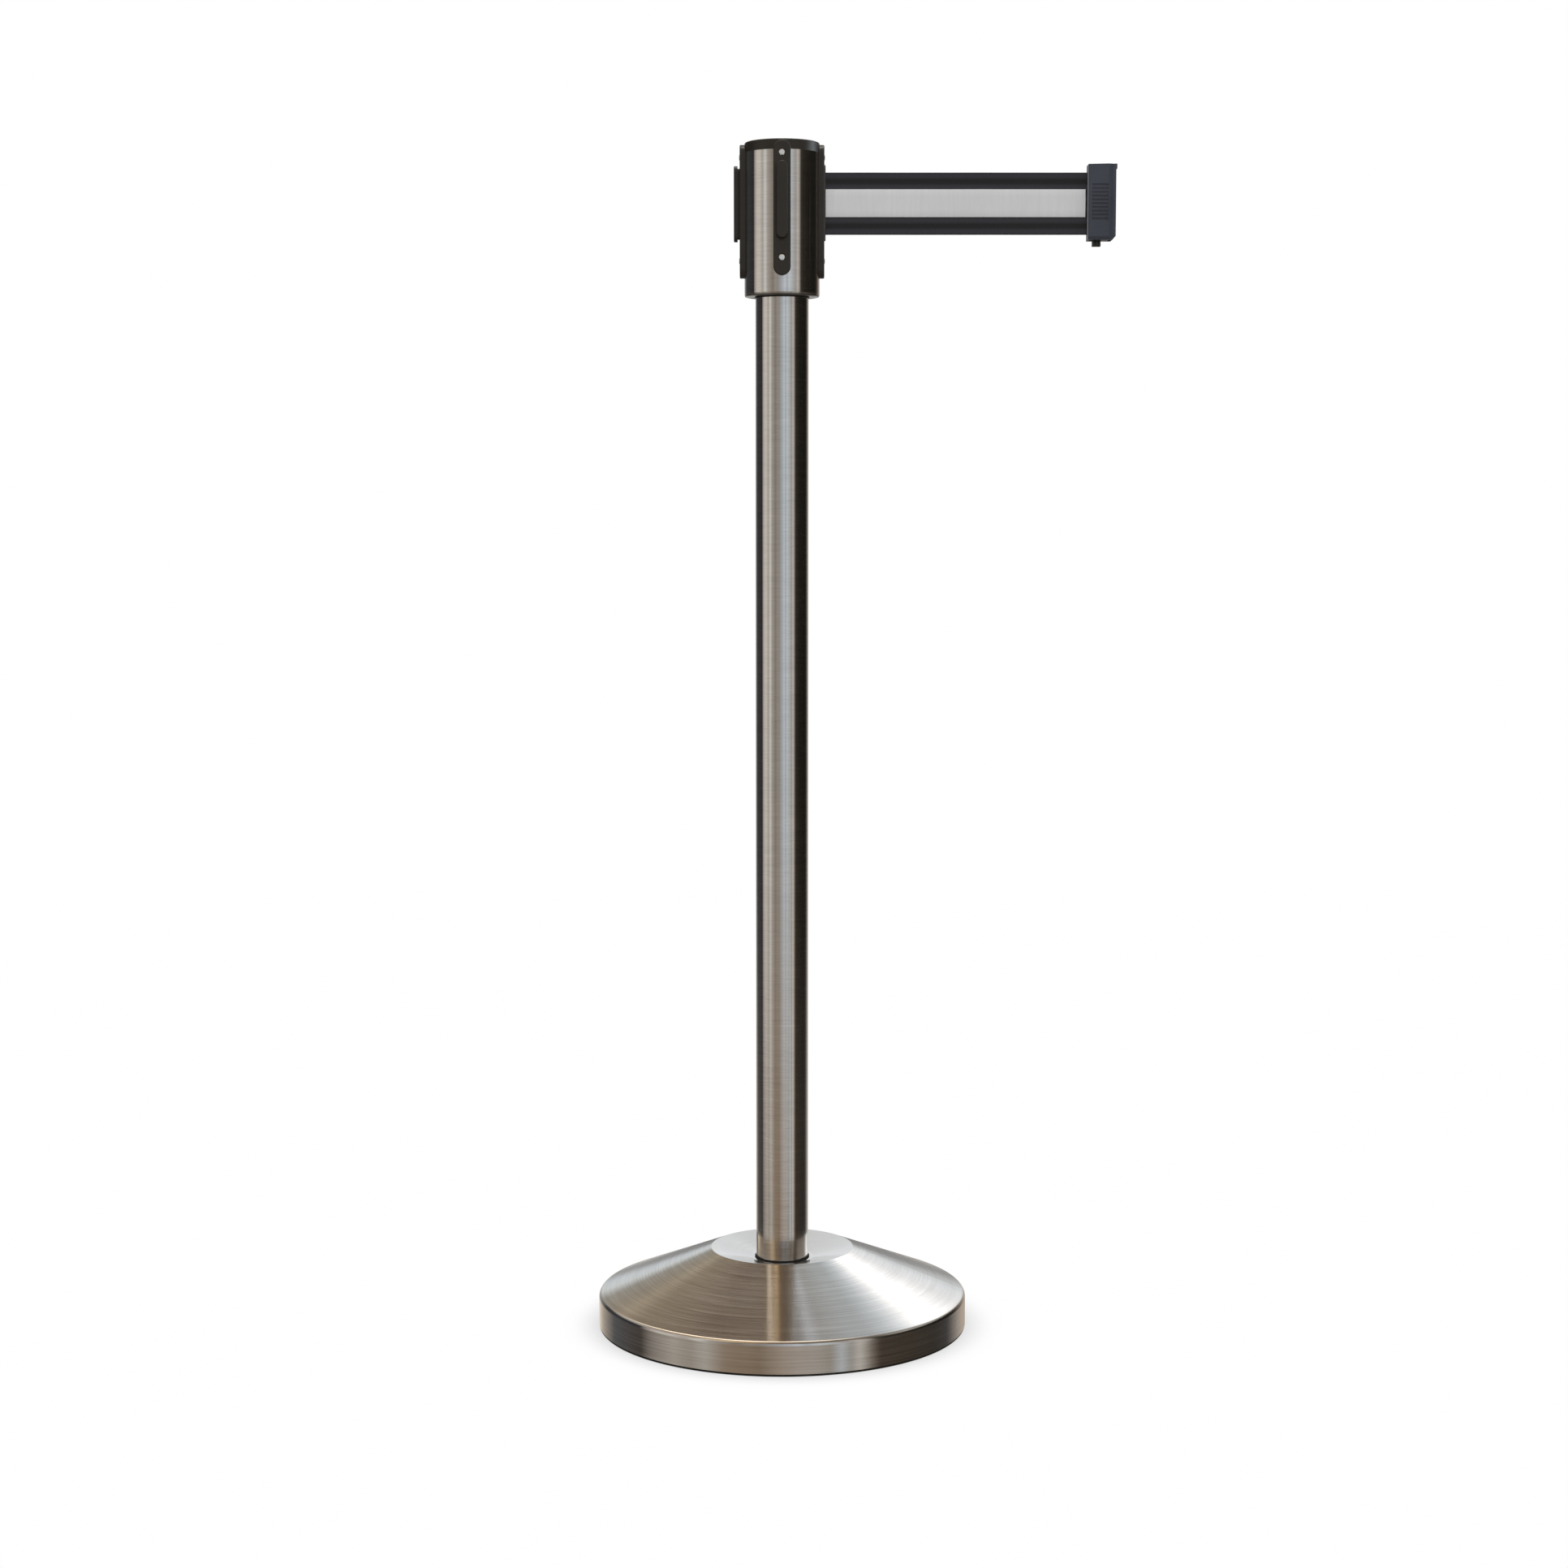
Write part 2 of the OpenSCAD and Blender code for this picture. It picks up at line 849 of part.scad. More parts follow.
module clip_block() {
    y = clip_w / 2;
    y_end = clip_end_w / 2;
    half = [
        [clip_x, 0], [clip_x, y - 0.8], [clip_x + 0.8, y], [clip_face_x, y],
        [clip_end_x, y_end], [clip_x1 - 0.3, y_end], [clip_x1, y_end - 0.3], [clip_x1, 0]
    ];
    front = [
        [clip_x, clip_z0], [clip_x1 - 2.9, clip_z0], [clip_x1, clip_z0 + 3.3],
        [clip_x1, clip_z1], [clip_x, clip_z1 - 0.5]
    ];
    difference() {
        intersection() {
            translate([0, 0, clip_z0 - 1])
                linear_extrude(height = clip_z1 - clip_z0 + 2)
                    polygon(concat(half, [for (i = [7:-1:0]) [half[i][0], -half[i][1]]]));
            rotate([90, 0, 0])
                translate([0, 0, -20])
                    linear_extrude(height = 40)
                        polygon(front);
        }
        for (side = [0, 1])
            mirror([0, side, 0])
                rotate([90, 0, 90])
                    translate([0, 0, clip_x - 1])
                        linear_extrude(height = clip_l + 2)
                            polygon([[y - 1.4, clip_z0 - 0.1], [y + 1, clip_z0 - 0.1],
                                     [y + 1, clip_z0 + 2.9], [y, clip_z0 + 2.9]]);
    }
    block([clip_x1 - 1, -y_end, plate_z], [clip_x1 + hook_l, y_end, clip_z1]);
}

// All that is hollow inside the clip
module clip_hollows() {
    block([channel_x0, -channel_w / 2, clip_z0 - 1], [channel_x1, channel_w / 2, plate_z]);
    block([channel_x0, -mouth_w / 2, clip_z0 - 1], [clip_x1 + 2, mouth_w / 2, plate_z]);
    block([clip_x - 1, -0.7, belt_z0 - 0.3], [bar_x, 0.7, belt_z1 + 0.3]);
    translate([bar_x, 0, belt_z0 - 0.3])
        cylinder(r = bar_r + belt_t + 0.5, h = belt_w + 0.6);
    translate([bar_x, 0, belt_z0 - 1.2])
        cylinder(r = bar_r, h = belt_w + 3);
    lever_hollow();
    translate([lever_x, -clip_w / 2 + 2.5, lever_z])
        rotate([-90, 0, 0])
            cylinder(r = lever_pin_r, h = clip_w - 5);
}

// The lever's pocket, its opening in the floor and its window into the channel
module lever_hollow() {
    w = lever_w / 2 + 0.3;
    floor_z = clip_z0 + 1.4;
    block([clip_x + 1.5, -w, clip_z0 - 1], [lever_x - 1.1, w, clip_z0 + 3.3]);
    block([lever_x - 4.1, -w, floor_z], [lever_x + 3.1, w, lever_z + 8.5]);
    block([lever_x + 3, -w, floor_z], [channel_x0 + 1, w, floor_z + 5.4]);
}

module clip_front() {
    y = clip_w / 2;
    color(slate_c)
        difference() {
            clip_block();
            block([clip_x - 5, 0, clip_z0 - 5], [clip_x1 + 5, 20, clip_z1 + 5]);
            clip_hollows();
            for (i = [0:groove_n - 1])
                translate([groove_x0, groove_deep - groove_r - y, groove_z0 + i * groove_pitch])
                    rotate([0, 90, 0])
                        cylinder(r = groove_r, h = groove_l);
            for (z = clip_screw_z)
                translate([clip_screw_x, 0, z])
                    rotate([90, 0, 0])
                        translate([0, 0, -1])
                            cylinder(r = clip_screw_r, h = 6);
        }
}

module clip_rear() {
    color(slate_c)
        difference() {
            clip_block();
            block([clip_x - 5, -20, clip_z0 - 5], [clip_x1 + 5, 0, clip_z1 + 5]);
            clip_hollows();
            for (z = clip_screw_z)
                translate([clip_screw_x, 0, z])
                    rotate([-90, 0, 0]) {
                        translate([0, 0, -1])
                            cylinder(r = clip_screw_r, h = 20);
                        translate([0, 0, clip_w / 2 - 1.8])
                            cylinder(r = clip_screw_r + 1.3, h = 5);
                    }
        }
}

module clip_screws() {
    color(zinc_c)
        for (z = clip_screw_z)
            translate([clip_screw_x, clip_w / 2 - 1.8, z])
                rotate([0, 0, 90])
                    pan_screw(clip_screw_r, clip_screw_r + 1.2, 11, 1.5);
}

module belt_bar() {
    color(zinc_c)
        translate([bar_x, 0, belt_z0 - 1])
            cylinder(r = bar_r, h = belt_w + 2.6);
}

module lever_pin() {
    color(zinc_c)
        translate([lever_x, -clip_w / 2 + 2.6, lever_z])
            rotate([-90, 0, 0])
                cylinder(r = lever_pin_r, h = clip_w - 5.2);
}

// A bell crank: the tab hangs out of the clip's floor and the nose bears on a rail in the channel
module lock_lever() {
    outline = [
        [-8.2, -15.9], [-1.5, -15.9], [-1.5, -9.5], [0.9, -9.3], [0.9, -8.1], [6.1, -8.1],
        [6.1, -6], [5.5, -5.2], [1.6, -4.2], [2, 0], [1.3, 2.5], [0.6, 4], [0.6, 7.5],
        [-1.6, 7.5], [-2, 4], [-2.5, 0], [-2.5, -8.3], [-4.4, -9.4], [-8.2, -10.5]
    ];
    color(black_c)
        translate([lever_x, 0, lever_z])
            difference() {
                rotate([90, 0, 0])
                    translate([0, 0, -lever_w / 2])
                        linear_extrude(height = lever_w)
                            polygon(outline);
                translate([0, -10, 0])
                    rotate([-90, 0, 0])
                        cylinder(r = lever_pin_r + 0.05, h = 20);
                for (x = [-6.7, -4])
                    block([x, -lever_w / 2 - 1, -17], [x + 1.4, -lever_w / 2 + 1.4, -10.8]);
            }
}

// A small compression spring between the lever's upper arm and the wall of the channel
module lock_spring() {
    turns = 3;
    steps = 12;
    sides = 6;
    n = turns * steps;
    from_x = lever_x + 0.6 + 0.1 + lock_wire_r;
    length = 3.1 - 0.6 - 0.2 - 2 * lock_wire_r;
    function at(i, j) = let (
        a = i * 360 / steps,
        b = j * 360 / sides,
        r = lock_spring_r + lock_wire_r * cos(b)
    ) [from_x + length * i / n + lock_wire_r * sin(b), r * cos(a), lock_spring_z + r * sin(a)];
    points = [for (i = [0:n]) for (j = [0:sides - 1]) at(i, j)];
    walls = [for (i = [0:n - 1]) for (j = [0:sides - 1])
        [i * sides + j, i * sides + (j + 1) % sides,
         (i + 1) * sides + (j + 1) % sides, (i + 1) * sides + j]];
    color(zinc_c)
        polyhedron(
            points = points,
            faces = concat([[for (j = [sides - 1:-1:0]) j]], walls,
                           [[for (j = [0:sides - 1]) n * sides + j]])
        );
}

base_cover();
base_weight();
floor_ring();
foot_gasket();
post_bolt();
bolt_washer();
post_tube();
post_plug();
head_adapter();
head_sleeve();
top_cap();
receiver_front();
receiver_left();
receiver_back();
outlet_strip();
strip_screws();
cassette_body();
cassette_screws();
cassette_lid();
lid_screws();
reel_axle();
axle_clip();
spring_cover();
power_spring();
brake_drum();
roller_pin();
guide_roller();
reel();
reel_bush_lower();
reel_bush_upper();
belt_anchor_pin();
brake_pins();
brake_shoe_a();
brake_shoe_b();
belt_coil();
belt_lead();
belt_web();
clip_front();
clip_rear();
clip_screws();
belt_bar();
lever_pin();
lock_lever();
lock_spring();
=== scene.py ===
"""A retractable belt stanchion: finishes for the CAD nodes, the woven belt, studio light and camera."""
import json
import math

import bmesh
import bpy
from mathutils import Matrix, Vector


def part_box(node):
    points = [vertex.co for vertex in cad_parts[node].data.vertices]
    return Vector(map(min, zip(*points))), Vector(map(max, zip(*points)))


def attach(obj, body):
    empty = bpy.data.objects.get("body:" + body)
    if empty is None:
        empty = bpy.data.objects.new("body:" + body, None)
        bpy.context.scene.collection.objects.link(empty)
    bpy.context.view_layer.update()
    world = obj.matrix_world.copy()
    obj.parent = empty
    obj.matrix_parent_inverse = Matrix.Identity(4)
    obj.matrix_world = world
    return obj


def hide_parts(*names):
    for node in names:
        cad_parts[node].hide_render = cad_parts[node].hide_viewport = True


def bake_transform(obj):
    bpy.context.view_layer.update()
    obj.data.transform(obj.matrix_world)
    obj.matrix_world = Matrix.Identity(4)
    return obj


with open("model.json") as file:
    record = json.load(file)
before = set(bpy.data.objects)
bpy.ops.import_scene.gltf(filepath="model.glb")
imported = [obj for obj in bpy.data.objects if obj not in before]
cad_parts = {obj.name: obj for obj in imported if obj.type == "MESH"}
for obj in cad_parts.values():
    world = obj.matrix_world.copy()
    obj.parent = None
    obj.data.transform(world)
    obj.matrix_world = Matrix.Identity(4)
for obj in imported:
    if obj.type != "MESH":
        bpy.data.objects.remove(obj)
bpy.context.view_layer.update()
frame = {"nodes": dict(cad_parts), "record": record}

MM = 0.001
BLACK = (0, 0, 0, 1)
WHITE = (1, 1, 1, 1)

# Camera: at chest height in front of the post, looking slightly down
CAMERA_AT = (0.0016, -2.279, 0.6665)
CAMERA_DOWN = math.radians(5.28)
LENS_MM = 63.35
SENSOR_MM = 36.0

# What the lamps are aimed at: the head
LAMPS_AIM = (0, 0, 0.9)
# How far the base shades the floor, and how light the floor is where they meet
SHADE_REACH = 35 * MM
SHADE_LEVEL = 0.42

# Where the frame puts the belt, the reel it winds on, the slot it leaves by and the clip it ends in
WEB_LOW, WEB_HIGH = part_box("belt_web")
COIL_LOW, COIL_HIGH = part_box("belt_coil")
ROLLER_LOW, ROLLER_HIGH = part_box("guide_roller")
BAR_LOW, BAR_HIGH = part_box("belt_bar")
SLOT_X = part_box("outlet_strip")[1].x
CLIP_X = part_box("clip_front")[0].x
SLEEVE_FOOT_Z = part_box("head_sleeve")[0].z

# The webbing, and the tape woven into it, which lies a little above its middle line
BELT_W = WEB_HIGH.z - WEB_LOW.z
BELT_Z = (WEB_HIGH.z + WEB_LOW.z) / 2
BELT_T = 0.6 * MM
SELVEDGE_W = 1.8 * MM
WEB_YARN = 0.9 * MM
PANEL_W = 2.6 * MM
BAND_W = 22.3 * MM
BAND_RISE = 0.45 * MM
BAND_YARN = 0.5 * MM
# How far short of the clip the tape stops
BAND_STOP = 1.6 * MM
# Lengths that differ by less than this are taken as equal
CLOSE = 0.01 * MM
# Where the paler bands of the webbing lie: the first one's distance from the middle, and the pitch
PALER_AT = 13.2 * MM
PALER_PITCH = 9.2 * MM

# How far apart the belt's columns of points are: in the open, into the clip, by the loop, and in
# the head
OPEN_PITCH = 1.5 * MM
CLIP_PITCH = 0.8 * MM
LOOP_PITCH = 0.6 * MM
LEAD_PITCH = 2 * MM
# The steps of the loop round the bar, of the bend round the roller and of a turn on the reel
LOOP_STEPS = 20
BEND_STEPS = 10
STEPS_A_TURN = 30
# How much the open stretch ripples, over what length it is held flat at its ends, and its waves:
# their radians per metre along the belt, and the short one's lean across it
RIPPLE = 0.12 * MM
HELD_FLAT = 30 * MM
LONG_WAVE = 61
SHORT_WAVE = 143
WAVE_LEAN = 40
# The loop in the clip: its room round the bar, how far before the bar its two layers part, and
# where the cut end lies from there
BAR_GAP = 0.02 * MM
NECK = 1.5 * MM
CUT_END = (0.5 * MM, -0.38 * MM)
# The reel's hub, and the room between the coil and the stretch that leaves it
REEL_HUB_R = 8 * MM
COIL_GAP = 0.25 * MM

# The pitch of the steel's hairlines, of its deeper scratches and of the passes that made them
HAIRLINES = 0.35 * MM
SCRATCHES = 1.6 * MM
PASSES = 7.0 * MM
# The base's crest, inside which it isn't brushed
CREST_R = 59.4 * MM
# The grain of the moulded plastic
PLASTIC_GRAIN = 0.35 * MM
# The cut edge at the sleeve's foot, dull and darkened with painted shade: up to where it is fully so,
# and where that ends
DULL_SHADED_FOOT = (0.4 * MM, 1.6 * MM)

# What the steel gives back of the light that it mirrors
STEEL_TONE = (0.62, 0.605, 0.585)

# What stands round the object, as the steel mirrors it. The rows of HORIZON, LOW, HIGH and SLOPE
# began as colours sampled from the reference photo by angle, and were then rounded, moved and
# changed against renders. Each shade is the one that shows in the steel. Headings are in
# degrees from the camera's side, rightward positive. This is what stands at eye height.
HORIZON = [
    (-180, (190, 188, 184)),
    (-158, (140, 138, 134)),
    (-140, (54, 54, 56)),
    (-97, (40, 40, 43)),
    (-91, (150, 138, 134)),
    (-83, (181, 176, 170)),
    (-72, (182, 178, 172)),
    (-62, (154, 149, 141)),
    (-53, (192, 190, 187)),
    (-45, (150, 146, 141)),
    (-28, (120, 112, 103)),
    (-20, (140, 134, 127)),
    (-14, (130, 128, 125)),
    (0, (156, 160, 165)),
    (10, (178, 185, 193)),
    (15, (152, 159, 166)),
    (22, (178, 185, 190)),
    (43, (143, 141, 137)),
    (48, (172, 167, 162)),
    (54, (150, 146, 140)),
    (59, (58, 54, 49)),
    (67, (38, 34, 29)),
    (82, (26, 24, 20)),
    (120, (22, 21, 19)),
    (132, (44, 40, 35)),
    (145, (108, 100, 92)),
    (160, (160, 152, 144)),
    (180, (190, 188, 184)),
]

# The same a little lower, which the rim of the base mirrors
LOW = [
    (-180, (215, 205, 195)),
    (-152, (150, 140, 128)),
    (-130, (76, 77, 79)),
    (-98, (60, 55, 51)),
    (-88, (114, 108, 102)),
    (-70, (152, 145, 136)),
    (-58, (138, 131, 121)),
    (-48, (160, 155, 148)),
    (-36, (132, 116, 100)),
    (-14, (116, 99, 80)),
    (0, (144, 129, 114)),
    (18, (152, 143, 133)),
    (30, (134, 127, 117)),
    (37, (170, 176, 180)),
    (43, (142, 140, 135)),
    (49, (176, 172, 166)),
    (57, (106, 98, 90)),
    (63, (54, 46, 38)),
    (110, (44, 41, 37)),
    (126, (58, 57, 57)),
    (144, (136, 129, 121)),
    (154, (152, 140, 128)),
    (180, (146, 134, 124)),
]

# High up, which the post mirrors where the post itself shows in the base
HIGH = [
    (-180, (112, 96, 82)),
    (-78, (104, 88, 74)),
    (-60, (140, 120, 94)),
    (-46, (168, 146, 115)),
    (-30, (114, 94, 71)),
    (-10, (84, 68, 54)),
    (40, (76, 66, 56)),
    (90, (92, 84, 77)),
    (180, (130, 128, 125)),
]

# What the sloping side of the base mirrors: degrees round the base from its front, rightward
# positive, the shade, and a gain for lamps that are brighter than white
SLOPE = [
    (-180, (104, 104, 103)),
    (-106, (104, 104, 104)),
    (-98, (128, 128, 128)),
    (-92, (176, 180, 184)),
    (-86, (184, 188, 189)),
    (-79, (134, 130, 122)),
    (-70, (133, 125, 112)),
    (-62, (144, 132, 114)),
    (-54, (120, 108, 91)),
    (-26, (98, 84, 71)),
    (-3, (98, 84, 71)),
    (4, (90, 80, 71)),
    (7, (124, 123, 123)),
    (9.5, (168, 172, 177)),
    (12.5, (134, 133, 132)),
    (23, (150, 154, 155)),
    (31, (156, 160, 163)),
    (38, (182, 187, 191)),
    (44, (214, 218, 222)),
    (50, (255, 255, 255), 1.05),
    (57, (255, 255, 255), 1.3),
    (65, (252, 252, 253)),
    (74, (220, 221, 223)),
    (84, (204, 207, 210)),
    (97, (126, 126, 125)),
    (110, (104, 103, 102)),
    (180, (104, 104, 103)),
]
# A pale card low down behind the object, which the dish round the post mirrors
CARD = (199, 202, 205)
# A lamp overhead, which the rounded edge of the base mirrors
LAMP = (255, 240, 216)
LAMP_GAIN = 1.5
# What shows above the dark flags at either side
ABOVE_FLAGS = (150, 146, 140)
# The floor: a few paces off, where the flags shade it, then closer, and close under the object
FLOOR_SHADED = (96, 88, 80)
FLOOR = (158, 154, 148)
FLOOR_UNDER = (52, 51, 50)

# Degrees above the level: between each pair, what the name says takes over
TO_LOW = (-7, -14)
TO_FLOOR_SHADED = (-18, -26)
TO_FLOOR = (-30, -50)
TO_FLOOR_UNDER = (-65, -78)
TO_ABOVE_FLAGS = (17, 27)
TO_HIGH = (32, 48)
# How far to either side the flags begin, in degrees of heading
FLAGS_FROM = (62, 85)
# Tilts of the base's surface, in degrees: between each pair, it begins to mirror SLOPE, or CARD
TO_SLOPE = (42, 36)
TO_CARD = (19, 17)
# The tilts between which LAMP fades in, from a steep surface and from a flat one, and the headings
# between which it does, from the left and from the right
LAMP_STEEP = (42, 38)
LAMP_FLAT = (29, 33)
LAMP_LEFT = (-70, -30)
LAMP_RIGHT = (32, 4)
# The camera's line of sight to the base, below the level: SLOPE, CARD and LAMP are placed for it
SIGHT_DOWN = math.radians(14.7)


def linear(red, green, blue, gain=1.0):
    """A colour given in display numbers from 0 to 255, as the linear colour that a node takes."""
    def one(value):
        value /= 255
        return gain * (value / 12.92 if value <= 0.04045 else ((value + 0.055) / 1.055) ** 2.4)
    return (one(red), one(green), one(blue), 1.0)


class Nodes:
    """A node tree, with a short call for each kind of node that this scene uses."""

    def __init__(self, tree):
        self.tree = tree
        tree.nodes.clear()

    def put(self, socket, value):
        if isinstance(value, bpy.types.NodeSocket):
            self.tree.links.new(value, socket)
        else:
            socket.default_value = value

    def add(self, kind, inputs=None, **settings):
        node = self.tree.nodes.new("ShaderNode" + kind)
        for name, value in settings.items():
            setattr(node, name, value)
        for name, value in (inputs or {}).items():
            self.put(node.inputs[name], value)
        return node

    def math(self, operation, *values):
        node = self.add("Math", operation=operation)
        for socket, value in zip(node.inputs, values):
            self.put(socket, value)
        return node.outputs[0]

    def join(self, x, y, z):
        return self.add("CombineXYZ", {"X": x, "Y": y, "Z": z}).outputs[0]

    def split(self, vector):
        return self.add("SeparateXYZ", {"Vector": vector}).outputs

    def length(self, x, y):
        squares = (self.math("MULTIPLY", part, part) for part in (x, y))
        return self.math("SQRT", self.math("ADD", *squares))

    def scaled(self, parts, factors):
        """A vector of three coordinates, each times its own factor."""
        return self.join(*(self.math("MULTIPLY", part, factor) for part, factor in zip(parts, factors)))

    def mix(self, factor, a, b, kind="MIX"):
        node = self.add("Mix", data_type="RGBA", blend_type=kind)
        for index, value in ((0, factor), (6, a), (7, b)):
            self.put(node.inputs[index], value)
        return node.outputs[2]

    def remap(self, value, low, high, to_low=0.0, to_high=1.0, smooth=False):
        node = self.add("MapRange", interpolation_type="SMOOTHSTEP" if smooth else "LINEAR")
        for index, given in enumerate((value, low, high, to_low, to_high)):
            self.put(node.inputs[index], given)
        return node.outputs[0]

    def noise(self, at, scale=1.0, detail=2.0, roughness=0.5):
        inputs = {"Vector": at, "Scale": scale, "Detail": detail, "Roughness": roughness}
        return self.add("TexNoise", inputs).outputs[0]

    def ramp(self, value, stops):
        """A colour for a value from 0 to 1, from a list of (place, colour)."""
        node = self.add("ValToRGB", {"Fac": value})
        elements = node.color_ramp.elements
        while len(elements) < len(stops):
            elements.new(0.5)
        for element, (place, colour) in zip(elements, stops):
            element.position = place
            element.color = colour
        return node.outputs[0]

    def bump(self, height, distance, strength=1.0):
        inputs = {"Height": height, "Distance": distance, "Strength": strength}
        return self.add("Bump", inputs).outputs[0]


class Finish(Nodes):
    """A material with one Principled shader, read in the row frame's own metres."""

    def __init__(self, name, **shader):
        self.material = bpy.data.materials.new(name)
        self.material.use_nodes = True
        super().__init__(self.material.node_tree)
        settings = {key.replace("_", " "): value for key, value in shader.items()}
        self.shader = self.add("BsdfPrincipled", settings)
        self.add("OutputMaterial", {"Surface": self.shader.outputs[0]})
        self.at = self.add("TexCoord").outputs["Object"]
        self.x, self.y, self.z = self.split(self.at)

    def set(self, **inputs):
        for name, value in inputs.items():
            self.put(self.shader.inputs[name.replace("_", " ")], value)
        return self.material

    def vary(self, colour, amount, strength):
        """The colour made lighter or darker, by strength, as amount goes from 0 to 1."""
        level = self.remap(amount, 0.25, 0.75, 1 - strength, 1 + strength)
        grey = self.add("CombineColor", {"Red": level, "Green": level, "Blue": level}).outputs[0]
        return self.mix(1.0, colour, grey, kind="MULTIPLY")


# ---- finishes ----

def lathe_brushed(name, rough=(0.08, 0.12), lines=1.0, spread=1.0, calm_r=0.0, foot_z=0.0):
    """Steel brushed round the Z axis: hairlines run round it and highlights spread across them.

    rough is the range of its roughness, lines is how strongly the hairlines show, and spread is
    the anisotropy. Inside calm_r, the hairlines are polished out. At foot_z, the cut edge is dull,
    and its colour there is darkened as painted shade under the sleeve."""
    f = Finish(name, Metallic=1.0, Anisotropic=spread, Anisotropic_Rotation=0.25)
    tone = (*STEEL_TONE, 1.0)
    radius = f.length(f.x, f.y)
    cosine = f.math("DIVIDE", f.x, radius)
    sine = f.math("DIVIDE", f.y, radius)
    down = f.math("SUBTRACT", radius, f.z)

    def hairlines(pitch, wander):
        turn = (f.math("MULTIPLY", part, wander) for part in (cosine, sine))
        return f.noise(f.join(*turn, f.math("DIVIDE", down, pitch)), detail=2.0, roughness=0.6)

    fine = hairlines(HAIRLINES, 3.0)
    coarse = hairlines(SCRATCHES, 1.2)
    passes = hairlines(PASSES, 0.5)
    smudge = f.noise(f.at, scale=14.0, detail=3.0)
    colour = f.vary(tone, fine, 0.08 * lines)
    colour = f.vary(colour, coarse, 0.07 * lines)
    colour = f.vary(colour, passes, 0.04 * lines)
    colour = f.vary(colour, smudge, 0.03)
    height = f.math("ADD", f.math("MULTIPLY", fine, 0.5), coarse)
    low, high = rough
    level = f.math("ADD", f.remap(coarse, 0.3, 0.7, low, high), f.remap(smudge, 0.3, 0.7, 0.0, 0.02))
    if calm_r:
        calm = f.remap(radius, calm_r - 0.6 * MM, calm_r, 1.0, 0.0)
        colour = f.mix(f.math("MULTIPLY", calm, 0.8), colour, f.vary(tone, smudge, 0.02))
        height = f.math("MULTIPLY", height, f.remap(calm, 0.0, 1.0, 1.0, 0.15))
    if foot_z:
        low_z, high_z = (foot_z + up for up in DULL_SHADED_FOOT)
        # Painted shade: the colour is darkened at the sleeve's foot, and the roughness is raised there
        # for its dull cut edge
        dull_and_shaded = f.remap(f.z, low_z, high_z, 0.85, 0.0)
        colour = f.mix(dull_and_shaded, colour, linear(58, 55, 52))
        level = f.math("ADD", level, f.math("MULTIPLY", dull_and_shaded, 0.3))
    tangent = f.add("Tangent", direction_type="RADIAL", axis="Z").outputs[0]
    return f.set(Base_Color=colour, Roughness=level, Tangent=tangent, Normal=f.bump(height, 0.02 * MM))


def moulded_plastic(name, tone, rough=0.4):
    """Injection-moulded plastic with a fine spark-eroded grain and faint rubbed patches."""
    f = Finish(name, Specular_IOR_Level=0.35)
    pores = f.noise(f.at, scale=1 / PLASTIC_GRAIN, detail=2.0, roughness=0.7)
    flow = f.noise(f.at, scale=60.0, detail=3.0)
    rubbed = f.remap(f.noise(f.at, scale=140.0, detail=5.0, roughness=0.7), 0.62, 0.75)
    colour = f.vary(tone, pores, 0.10)
    colour = f.vary(colour, flow, 0.12)
    worn = tuple(min(1.0, 1.35 * part + 0.004) for part in tone[:3]) + (1.0,)
    colour = f.mix(f.math("MULTIPLY", rubbed, 0.5), colour, worn)
    level = f.math("SUBTRACT", f.remap(pores, 0.3, 0.7, rough - 0.04, rough + 0.08),
                   f.math("MULTIPLY", rubbed, 0.08))
    return f.set(Base_Color=colour, Roughness=level, Normal=f.bump(pores, 0.03 * MM, 0.6))


def cast_iron(name, tone):
    """A painted sand casting: lumpy, pitted, with a little rust where the paint is thin."""
    f = Finish(name, Specular_IOR_Level=0.35)
    lumps = f.noise(f.at, scale=120.0, detail=4.0, roughness=0.6)
    sand = f.noise(f.at, scale=900.0, detail=3.0, roughness=0.7)
    thin = f.remap(f.noise(f.at, scale=45.0, detail=6.0, roughness=0.7), 0.58, 0.68)
    colour = f.vary(f.vary(tone, lumps, 0.2), sand, 0.15)
    colour = f.mix(f.math("MULTIPLY", thin, 0.45), colour, linear(92, 58, 38))
    height = f.math("ADD", lumps, f.math("MULTIPLY", sand, 0.4))
    return f.set(Base_Color=colour, Roughness=f.remap(sand, 0.3, 0.7, 0.6, 0.85),
                 Normal=f.bump(height, 0.5 * MM))


def black_rubber(name, tone):
    """Moulded rubber: matt, slightly mottled, dusty where it meets the floor."""
    f = Finish(name, Specular_IOR_Level=0.25)
    bloom = f.noise(f.at, scale=80.0, detail=4.0)
    grain = f.noise(f.at, scale=2200.0, detail=2.0)
    dust = f.math("MULTIPLY", f.remap(f.z, 0.0, 1.4 * MM, 0.35, 0.0), f.remap(bloom, 0.4, 0.6))
    colour = f.mix(dust, f.vary(f.vary(tone, bloom, 0.15), grain, 0.1), linear(110, 104, 96))
    return f.set(Base_Color=colour, Roughness=f.remap(grain, 0.3, 0.7, 0.7, 0.9),
                 Normal=f.bump(grain, 0.05 * MM))


def plated(name, tone):
    """Bright plated steel with turned marks, and a faint yellow cast in places."""
    f = Finish(name, Metallic=1.0)
    turned = f.noise(f.scaled((f.x, f.y, f.z), (300.0, 300.0, 5000.0)))
    cast = f.remap(f.noise(f.at, scale=220.0, detail=3.0), 0.4, 0.7)
    warm = tuple(a * b for a, b in zip(tone[:3], (1.0, 0.96, 0.86))) + (1.0,)
    colour = f.vary(f.mix(f.math("MULTIPLY", cast, 0.5), tone, warm), turned, 0.06)
    return f.set(Base_Color=colour, Roughness=f.remap(turned, 0.3, 0.7, 0.17, 0.32),
                 Normal=f.bump(turned, 0.01 * MM))


